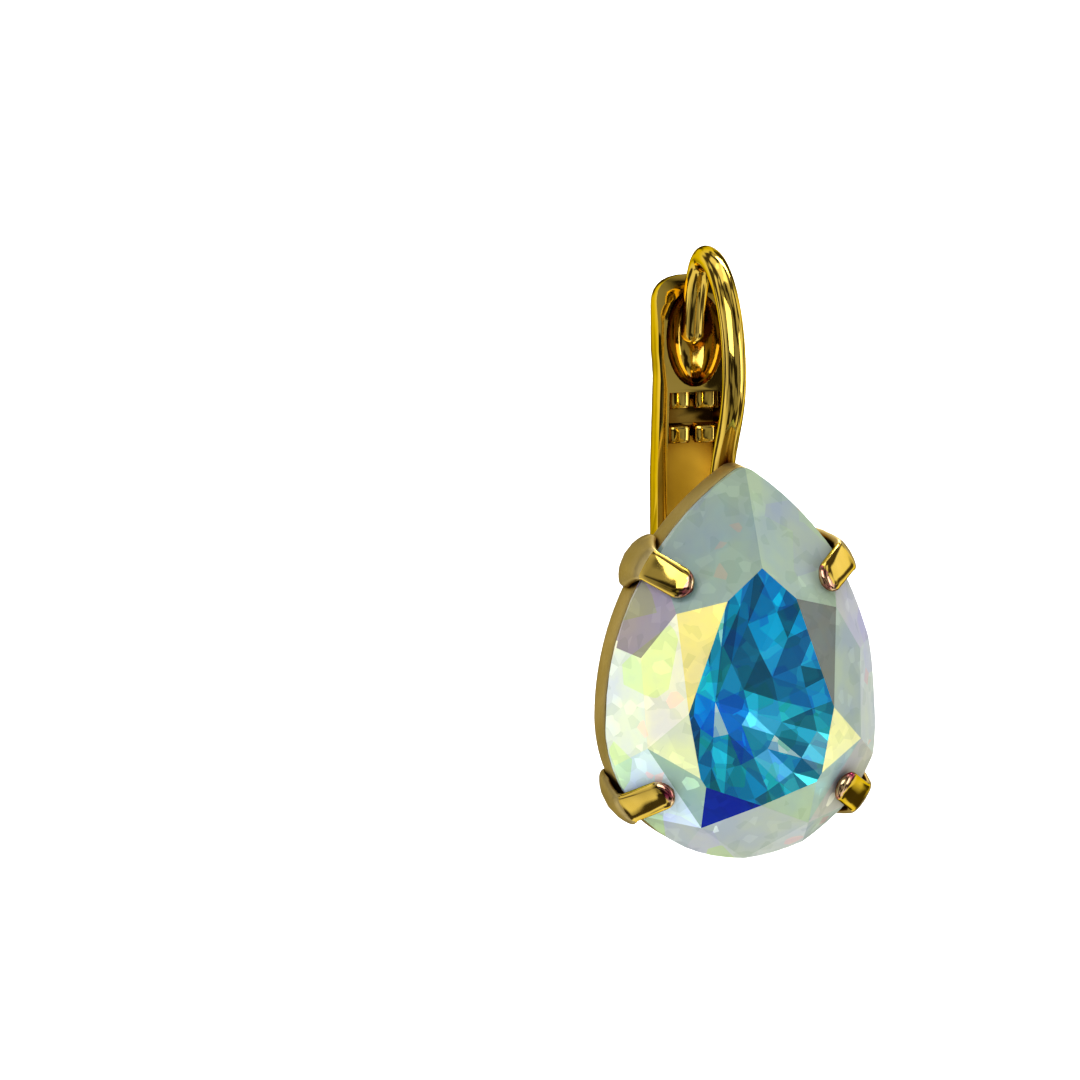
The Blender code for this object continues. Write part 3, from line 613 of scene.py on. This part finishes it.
def nearest_look(looks, centre):
    """The entry whose place on the front lies nearest."""
    side = centre.x / BOWL_RADIUS
    drop = (TIP_Z - centre.z) / STONE_LENGTH

    def distance(look):
        return ((look.side - side) * BOWL_RADIUS)**2 + ((look.drop - drop) * STONE_LENGTH)**2

    return min(looks, key=distance)


def foil_colour(centre, chance):
    """Colour of the zone, lighter or darker from facet to facet, and now and then a painted white
    glint.
    """
    if chance.random() < SPARK_CHANCE:
        return FOIL_SPARK
    red, green, blue = nearest_look(FOIL_ZONES, centre).colour
    light = FOIL_LIGHT_LEAST + FOIL_LIGHT_SPAN * chance.random()
    greener = FOIL_GREEN_LEAST + FOIL_GREEN_SPAN * chance.random()
    return tuple(min(1.0, part) for part in (red * light, green * light * greener, blue * light))


def make_crystal():
    """The CAD's facets with a colour and a coating share on each."""
    chance = random.Random(FOIL_SEED)
    bm = cad_facets("crystal", 0.6)
    cut_small_facets(bm, chance)
    tint_layer = bm.faces.layers.float_color.new("facet_tint")
    share_layer = bm.faces.layers.float.new("coat_share")
    for face in bm.faces:
        centre = face.calc_center_median_weighted()
        if face.normal.y > FACING_BACK:
            in_the_cup = centre.y > GIRDLE_Y + HALF_GIRDLE + FOIL_CLEARANCE
            colour = foil_colour(centre, chance)
            face[tint_layer] = (*(colour if in_the_cup else RIM_TINT), 1)
            face[share_layer] = 1.0
            face.material_index = 1 if in_the_cup else 0
            continue
        look = nearest_look(FACET_LOOKS, centre)
        face[tint_layer] = (*look.colour, 1)
        face[share_layer] = look.coat_share
        face.material_index = 0
    crystal = add_object("crystal_stone", bm)
    crystal.data.materials.append(coat_material())
    crystal.data.materials.append(foil_material())
    crystal.data.shade_flat()
    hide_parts("crystal")
    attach(crystal, "root")


def make_cup(material):
    """Pressed cup: a straight wall, a slope and a flat back, open to the front."""
    rings = []
    for share, depth_share in CUP_SECTIONS:
        rings.append([
            place(x * share, rise * share, depth_share * CUP_DEPTH)
            for x, rise in map(outline_point, outline_angles())])
    cup = add_object("cup_wall", loft(rings, close_start=False))
    shell = cup.modifiers.new("sheet", "SOLIDIFY")
    shell.thickness = CUP_WALL
    shell.offset = -1
    round_edges(cup, "rim", CUP_EDGE, 2, 50)
    apply_modifiers(cup)
    smooth(cup)
    cup.data.materials.append(material)
    return cup


def crown_height_at(x, rise, tree):
    """Height of the crown's surface over the girdle plane, from the CAD crystal."""
    in_front = place(x, rise, -0.01)
    hit, _, _, _ = tree.ray_cast(in_front, Vector((0, 1, 0)))
    return GIRDLE_Y - hit.y


def prong_path(x, rise, out_x, out_rise, tree):
    """Outward offset and depth along a prong's middle, from its root in the cup to its end."""
    near_reach = PRONG_REACH * SLOPE_START
    near = crown_height_at(x - out_x * near_reach, rise - out_rise * near_reach, tree)
    far = crown_height_at(x - out_x * PRONG_REACH, rise - out_rise * PRONG_REACH, tree)
    slope = (far - near) / (PRONG_REACH - near_reach)
    lift = PRONG_LIFT * math.hypot(1, slope)

    def over_crown(offset):
        return Vector((offset, -(near - slope * (offset + near_reach) + lift)))

    fold = over_crown(PRONG_BULGE * FOLD_BULGE)
    root = Vector((-PRONG_ROOT_INSET, PRONG_ROOT_DEPTH))
    low_pull = Vector((PRONG_BULGE * LOW_PULL_BULGE, PRONG_ROOT_DEPTH * LOW_PULL_DEPTH))
    high_pull = Vector((PRONG_BULGE * HIGH_PULL_BULGE, fold.y * HIGH_PULL_DEPTH))
    path = [bezier(root, low_pull, high_pull, fold, i / RISE_STEPS) for i in range(RISE_STEPS)]
    path.append(over_crown(PRONG_BULGE * SHOULDER_BULGE) + Vector((0, SHOULDER_SINK)))
    path += [over_crown(-PRONG_REACH * share) for share in TIP_REACHES]
    return smooth_through(path, PRONG_SMOOTHING)


def prong_section(before_fold, past_fold, to_end):
    """Offsets of a prong's section, once round: across it, out from its middle, and its sag."""
    width = PRONG_WIDTH + (PRONG_ROOT_WIDTH - PRONG_WIDTH) * min(1.0, before_fold * ROOT_WIDENING)
    if before_fold > ROOT_DOME_START:
        past_start = (before_fold - ROOT_DOME_START) / (1 - ROOT_DOME_START)
        width *= math.sqrt(max(ROOT_LEAST_SQUARE, 1 - past_start**2))
    close = dome_share(to_end, PRONG_DOME, END_LEAST_SQUARE)
    thickness = (
        PRONG_THICKNESS * (END_THICKNESS + (1 - END_THICKNESS) * close) * (1 + TIP_SWELL * past_fold))
    power = CORNER_POWER + CORNER_POWER_GAIN * past_fold
    section = []
    for k in range(PRONG_SIDES):
        turn = 2 * math.pi * k / PRONG_SIDES
        side_share = squarer(math.cos(turn), power)
        across = side_share * width / 2 * close
        lift = squarer(math.sin(turn), power) * thickness / 2
        sag = PRONG_ROOT_SAG * side_share**2 * min(1.0, before_fold * ROOT_SAGGING)
        section.append((across, lift, sag))
    return section


def make_prong(name, drop, side, materials, tree):
    """Strip with rounded edges that stands round the girdle and ends in a dome on the crown."""
    angle = side * angle_at_drop(drop)
    x, rise = outline_point(angle)
    out_x = math.sin(angle)
    out_rise = math.cos(angle)
    path = prong_path(x, rise, out_x, out_rise, tree)
    lengths = [0.0]
    for a, b in zip(path, path[1:]):
        lengths.append(lengths[-1] + (b - a).length)
    total = lengths[-1]
    fold_length = lengths[FOLD_STEP]
    rings = []
    for i, point in enumerate(path):
        out = left_of(path, i)
        before_fold = max(0.0, 1 - lengths[i] / fold_length)
        past_fold = max(0.0, (lengths[i] - fold_length) / (total - fold_length))
        ring = []
        for across, lift, sag in prong_section(before_fold, past_fold, total - lengths[i]):
            centre = point + out * lift
            ring.append(place(
                x + out_x * (centre.x - sag) + out_rise * across,
                rise + out_rise * (centre.x - sag) - out_x * across,
                centre.y))
        rings.append(ring)
    prong = add_object(name, loft(rings))
    smooth(prong, 60)
    for material in materials:
        prong.data.materials.append(material)
    fold_y = path[FOLD_STEP].y + GIRDLE_Y
    edge = x * out_x + rise * out_rise
    for face in prong.data.polygons:
        outward = face.center.x * out_x + (face.center.z - BOWL_Z) * out_rise
        if face.center.y > fold_y and outward > edge - PRONG_ROOT_INSET:
            face.material_index = 1
        # Painted reflection: the prong's end, past that share of its reach, takes gold with a painted
        # magenta reflection of the crystal
        elif outward < edge - PRONG_REACH * PAINTED_REFLECTION_FROM:
            face.material_index = 2
    return prong


def wire_points():
    """Centre line of the ear wire as depth and height over the tip."""
    root = Vector((WIRE_ROOT_DEPTH, 0))
    leg = Vector((FRONT_LEG_DEPTH, ARCH_CENTRE_HEIGHT))
    lower = (
        Vector((HINGE_Y - GIRDLE_Y - EYE_RADIUS * WIRE_START, HINGE_Z - TIP_Z)),
        Vector((WIRE_SLOPE_DEPTH * CUP_DEPTH + WIRE_RADIUS / 2, (WIRE_SLOPE_OUTLINE - 1) * TIP_RISE)),
        root,
    )
    points = smooth_through(lower, WIRE_LOW_STEPS)
    direction = (points[-1] - points[-2]).normalized()
    low_pull = root + direction * ARCH_CENTRE_HEIGHT * LEG_LOW_PULL
    high_pull = leg - Vector((0, ARCH_CENTRE_HEIGHT * LEG_HIGH_PULL))
    for i in range(1, WIRE_LEG_STEPS + 1):
        points.append(bezier(root, low_pull, high_pull, leg, i / WIRE_LEG_STEPS))
    for i in range(1, WIRE_ARCH_STEPS):
        turn = math.pi * i / WIRE_ARCH_STEPS
        reach = ARCH_CROWN_DEPTH - FRONT_LEG_DEPTH
        if turn > math.pi / 2:
            reach = BACK_LEG_DEPTH - ARCH_CROWN_DEPTH
        height = ARCH_CENTRE_HEIGHT + ARCH_RISE * math.sin(turn)
        if turn < math.pi / 2 or height > BACK_LEG_END_HEIGHT:
            points.append(Vector((ARCH_CROWN_DEPTH - reach * math.cos(turn), height)))
    points.append(Vector((BACK_LEG_DEPTH, BACK_LEG_END_HEIGHT)))
    return points


def make_wire(material):
    """Round wire with a rounded end inside the lever's spoon."""
    points = wire_points()
    last = len(points) - 1
    rings = []
    for i, point in enumerate(points):
        across = left_of(points, i)
        to_end = sum((points[j + 1] - points[j]).length for j in range(i, last))
        radius = WIRE_RADIUS * dome_share(to_end, WIRE_RADIUS, WIRE_END_LEAST_SQUARE)
        ring = []
        for k in range(WIRE_SIDES):
            turn = 2 * math.pi * k / WIRE_SIDES
            centre = point + across * radius * math.cos(turn)
            ring.append(place(radius * math.sin(turn), TIP_RISE + centre.y, centre.x))
        rings.append(ring)
    wire = add_object("ear_wire", loft(rings))
    smooth(wire, 60)
    wire.data.materials.append(material)
    return wire


def make_hinge_eye(material):
    """Tongue behind the cup that ends in the rivet's eye."""
    tongue_y = GIRDLE_Y + CUP_DEPTH - SHEET / 2
    outer = [(tongue_y, HINGE_Z + TONGUE_HALF_HEIGHT)]
    for i in range(EYE_STEPS + 1):
        turn = EYE_HALF_TURN - 2 * EYE_HALF_TURN * i / EYE_STEPS
        outer.append((HINGE_Y + EYE_RADIUS * math.cos(turn), HINGE_Z + EYE_RADIUS * math.sin(turn)))
    outer.append((tongue_y, HINGE_Z - TONGUE_HALF_HEIGHT))
    rings = []
    for x in (-EYE_WIDTH / 2, EYE_WIDTH / 2):
        rings.append([Vector((x, y, z)) for y, z in outer])
    eye = add_object("hinge_eye", loft(rings))
    bpy.ops.mesh.primitive_cylinder_add(
        vertices=DRILL_SIDES, radius=PIN_RADIUS + EYE_CLEARANCE, depth=EYE_WIDTH * 2,
        location=(0, HINGE_Y, HINGE_Z), rotation=(0, math.pi / 2, 0))
    drill = bpy.context.object
    cut = eye.modifiers.new("hole", "BOOLEAN")
    cut.operation = "DIFFERENCE"
    cut.object = drill
    round_edges(eye, "edges", EYE_EDGE, 3, 50)
    apply_modifiers(eye)
    bpy.data.objects.remove(drill)
    smooth(eye)
    eye.data.materials.append(material)
    return eye


def refine_node(node, name, width, material):
    """A CAD node's own form with its edges rounded."""
    piece = add_object(name, cad_facets(node, 1.0))
    round_edges(piece, "edges", width, 3, 40)
    apply_modifiers(piece)
    smooth(piece, 40)
    piece.data.materials.append(material)
    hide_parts(node)
    return piece


def add_stud(bm, side, low, high):
    """Barrel-shaped front of one half rib, bulging towards the front."""
    centre_x = side * (STUD_NEAR + STUD_FAR) / 2
    half_x = (STUD_FAR - STUD_NEAR) / 2
    middle = (low + high) / 2
    half_z = (high - low) / 2
    rows = []
    for i in range(STUD_ROWS + 1):
        up = -1 + 2 * i / STUD_ROWS
        lift = math.copysign(1 - (1 - abs(up))**2, up)
        close = (1 - abs(lift)**STUD_END_POWER)**(1 / STUD_END_POWER)
        row = []
        for k in range(STUD_COLUMNS + 1):
            turn = math.pi * k / STUD_COLUMNS
            across = squarer(math.cos(turn), STUD_CORNER_POWER)
            bulge = STUD_FRONT * math.sin(turn)**STUD_FRONT_POWER * close
            row.append(bm.verts.new((
                centre_x + half_x * across * (STUD_END_WIDTH + STUD_END_GAIN * close),
                GIRDLE_Y + RIB_DEPTH + STUD_BASE - bulge,
                TIP_Z + middle + half_z * lift)))
        rows.append(row)
    for lower, upper in zip(rows, rows[1:]):
        for k in range(STUD_COLUMNS):
            bm.faces.new((lower[k], lower[k + 1], upper[k + 1], upper[k]))
    bm.faces.new(list(reversed(rows[0])))
    bm.faces.new(rows[-1])
    for lower, upper in zip(rows, rows[1:]):
        bm.faces.new((lower[-1], lower[0], upper[0], upper[-1]))


def make_studs(material):
    """The four barrel-shaped fronts inside the lever's channel."""
    bm = bmesh.new()
    for low, high in RIB_HEIGHTS:
        for side in (-1, 1):
            add_stud(bm, side, low, high)
    bmesh.ops.remove_doubles(bm, verts=bm.verts, dist=1e-8)
    bmesh.ops.recalc_face_normals(bm, faces=bm.faces)
    studs = add_object("lever_studs", bm)
    smooth(studs, 50)
    studs.data.materials.append(material)
    return studs


def add_camera():
    """Camera at the photograph's angle, aimed so that the crystal lies where the photograph has it."""
    back = Vector((
        math.sin(CAMERA_AZIMUTH) * math.cos(CAMERA_ELEVATION),
        -math.cos(CAMERA_AZIMUTH) * math.cos(CAMERA_ELEVATION),
        math.sin(CAMERA_ELEVATION)))
    turn = (-back).to_track_quat("-Z", "Y")
    right = turn @ Vector((1, 0, 0))
    up = turn @ Vector((0, 1, 0))
    middle = place(0, TIP_RISE - STONE_LENGTH / 2, 0)
    beside = (STONE_MIDDLE_PX[0] - FRAME_PX / 2) / PX_PER_M
    below = (STONE_MIDDLE_PX[1] - FRAME_PX / 2) / PX_PER_M
    aim = middle - right * beside + up * below
    data = bpy.data.cameras.new("camera")
    data.sensor_width = SENSOR_MM
    data.lens = PX_PER_M * CAMERA_DISTANCE / FRAME_PX * SENSOR_MM
    data.clip_start = 0.01
    data.clip_end = 10
    camera = bpy.data.objects.new("camera", data)
    camera.rotation_mode = "QUATERNION"
    camera.rotation_quaternion = turn
    camera.location = aim + back * CAMERA_DISTANCE
    bpy.context.scene.collection.objects.link(camera)
    bpy.context.scene.camera = camera
    return back


def add_lamp(name, location, target, size, power):
    """Soft rectangular lamp that the camera doesn't see."""
    data = bpy.data.lights.new(name, "AREA")
    data.shape = "RECTANGLE"
    data.size, data.size_y = size
    data.energy = power
    lamp = bpy.data.objects.new(name, data)
    lamp.location = location
    lamp.rotation_mode = "QUATERNION"
    lamp.rotation_quaternion = (target - location).to_track_quat("-Z", "Y")
    lamp.visible_camera = False
    bpy.context.scene.collection.objects.link(lamp)


def add_floor():
    """Pale floor that sweeps up into a backdrop. It lights the object but stays out of its gloss."""
    floor_z = STONE_LOW.z - FLOOR_DROP
    profile = [(FLOOR_FRONT, 0.0), (FLOOR_BACK, 0.0)]
    for i in range(1, SWEEP_STEPS + 1):
        turn = math.pi / 2 * i / SWEEP_STEPS
        profile.append((
            FLOOR_BACK + SWEEP_RADIUS * math.sin(turn), SWEEP_RADIUS * (1 - math.cos(turn))))
    profile.append((FLOOR_BACK + SWEEP_RADIUS, BACKDROP_HEIGHT))
    bm = bmesh.new()
    rows = []
    for y, z in profile:
        rows.append([bm.verts.new((x, y, floor_z + z)) for x in (-FLOOR_HALF_WIDTH, FLOOR_HALF_WIDTH)])
    for lower, upper in zip(rows, rows[1:]):
        bm.faces.new((lower[0], lower[1], upper[1], upper[0]))
    floor = add_object("studio_floor", bm)
    floor.data.shade_smooth()
    paper = new_material("pale_paper")
    tree, add, link = node_tools(paper)
    shader = tree.nodes["Principled BSDF"]
    shader.inputs["Roughness"].default_value = 0.9
    shader.inputs["Specular IOR Level"].default_value = 0.1
    grain = add("ShaderNodeTexNoise")
    grain.inputs["Scale"].default_value = 60
    shade = colour_ramp(
        add, link, grain.outputs["Fac"], ((0.0, (0.93, 0.93, 0.93)), (1.0, (0.95, 0.95, 0.95))))
    link(shade, shader.inputs["Base Color"])
    floor.data.materials.append(paper)
    floor.visible_glossy = False


def add_room(front):
    """Room of light and dark panels that the metal reflects, darker in the direction given."""
    world = bpy.data.worlds.new("studio")
    bpy.context.scene.world = world
    world.use_nodes = True
    tree, add, link = node_tools(world)
    background = tree.nodes["Background"]
    background.inputs["Strength"].default_value = 1.0
    directions = add("ShaderNodeTexCoord").outputs["Generated"]
    toward = add("ShaderNodeVectorMath", operation="DOT_PRODUCT")
    toward.inputs[1].default_value = front
    link(directions, toward.inputs[0])
    light = colour_ramp(
        add, link, toward.outputs["Value"], ((0.0, (1.25, 1.23, 1.18)), (0.55, (0.34, 0.33, 0.30))))
    panels = noise(add, link, directions, 2.6, 1)
    gaps = colour_ramp(add, link, panels, ((0.44, (0.06, 0.05, 0.04)), (0.54, (1, 1, 1))))
    link(product(add, link, light, gaps), background.inputs["Color"])


def add_lamps():
    """Soft lamps round the crystal, and one that lights the backdrop behind it."""
    middle = place(0, 0, 0)
    for name, offset, size, power in LAMPS:
        add_lamp(name, middle + Vector(offset), middle, size, power)
    add_lamp(
        "backdrop", BACKDROP_LAMP_PLACE, BACKDROP_LAMP_TARGET, BACKDROP_LAMP_SIZE, BACKDROP_LAMP_POWER)


def make_setting(polished, satin, tip):
    """Cup, ear wire, hinge eye and four prongs, which stand for the CAD's one soldered setting."""
    bm = bmesh.new()
    bm.from_mesh(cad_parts["crystal"].data)
    tree = BVHTree.FromBMesh(bm)
    bm.free()
    setting = [make_cup(satin), make_wire(polished), make_hinge_eye(polished)]
    for height, drop in PRONG_DROPS:
        for side_name, side in (("right", 1), ("left", -1)):
            setting.append(make_prong(
                f"prong_{height}_{side_name}", drop, side, (polished, satin, tip), tree))
    for piece in setting:
        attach(piece, "root")
        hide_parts("setting")


def make_lever(polished):
    """Lever, its studs and the rivet that it turns on."""
    lever = refine_node("lever", "lever_channel", LEVER_EDGE, polished)
    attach(lever, "lever")
    studs = make_studs(polished)
    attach(studs, "lever")
    pin = refine_node("hinge_pin", "hinge_rivet", RIVET_EDGE, polished)
    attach(pin, "root")


def main():
    polished = gold_material(
        "polished_gold", colour=(0.78, 0.55, 0.11), tarnish=(0.60, 0.41, 0.06),
        edge=(0.62, 0.51, 0.22), roughness=0.07, grain=2600, bump=0.08)
    satin = gold_material(
        "satin_gold", colour=(0.60, 0.47, 0.20), tarnish=(0.48, 0.37, 0.14),
        edge=(0.50, 0.40, 0.20), roughness=0.40, grain=9000, bump=0.35)
    # Prong ends: a painted magenta reflection of the crystal, broken up with pale gold
    tip = gold_material(
        "gold_with_painted_reflection", colour=(0.42, 0.05, 0.12), tarnish=(0.85, 0.66, 0.34),
        edge=(0.60, 0.35, 0.30), roughness=0.10, grain=2600, bump=0.08, drift_scale=1300)
    make_crystal()
    make_setting(polished, satin, tip)
    make_lever(polished)
    front = add_camera()
    add_floor()
    add_room(front)
    add_lamps()
    bpy.context.scene.view_settings.view_transform = "Standard"


main()
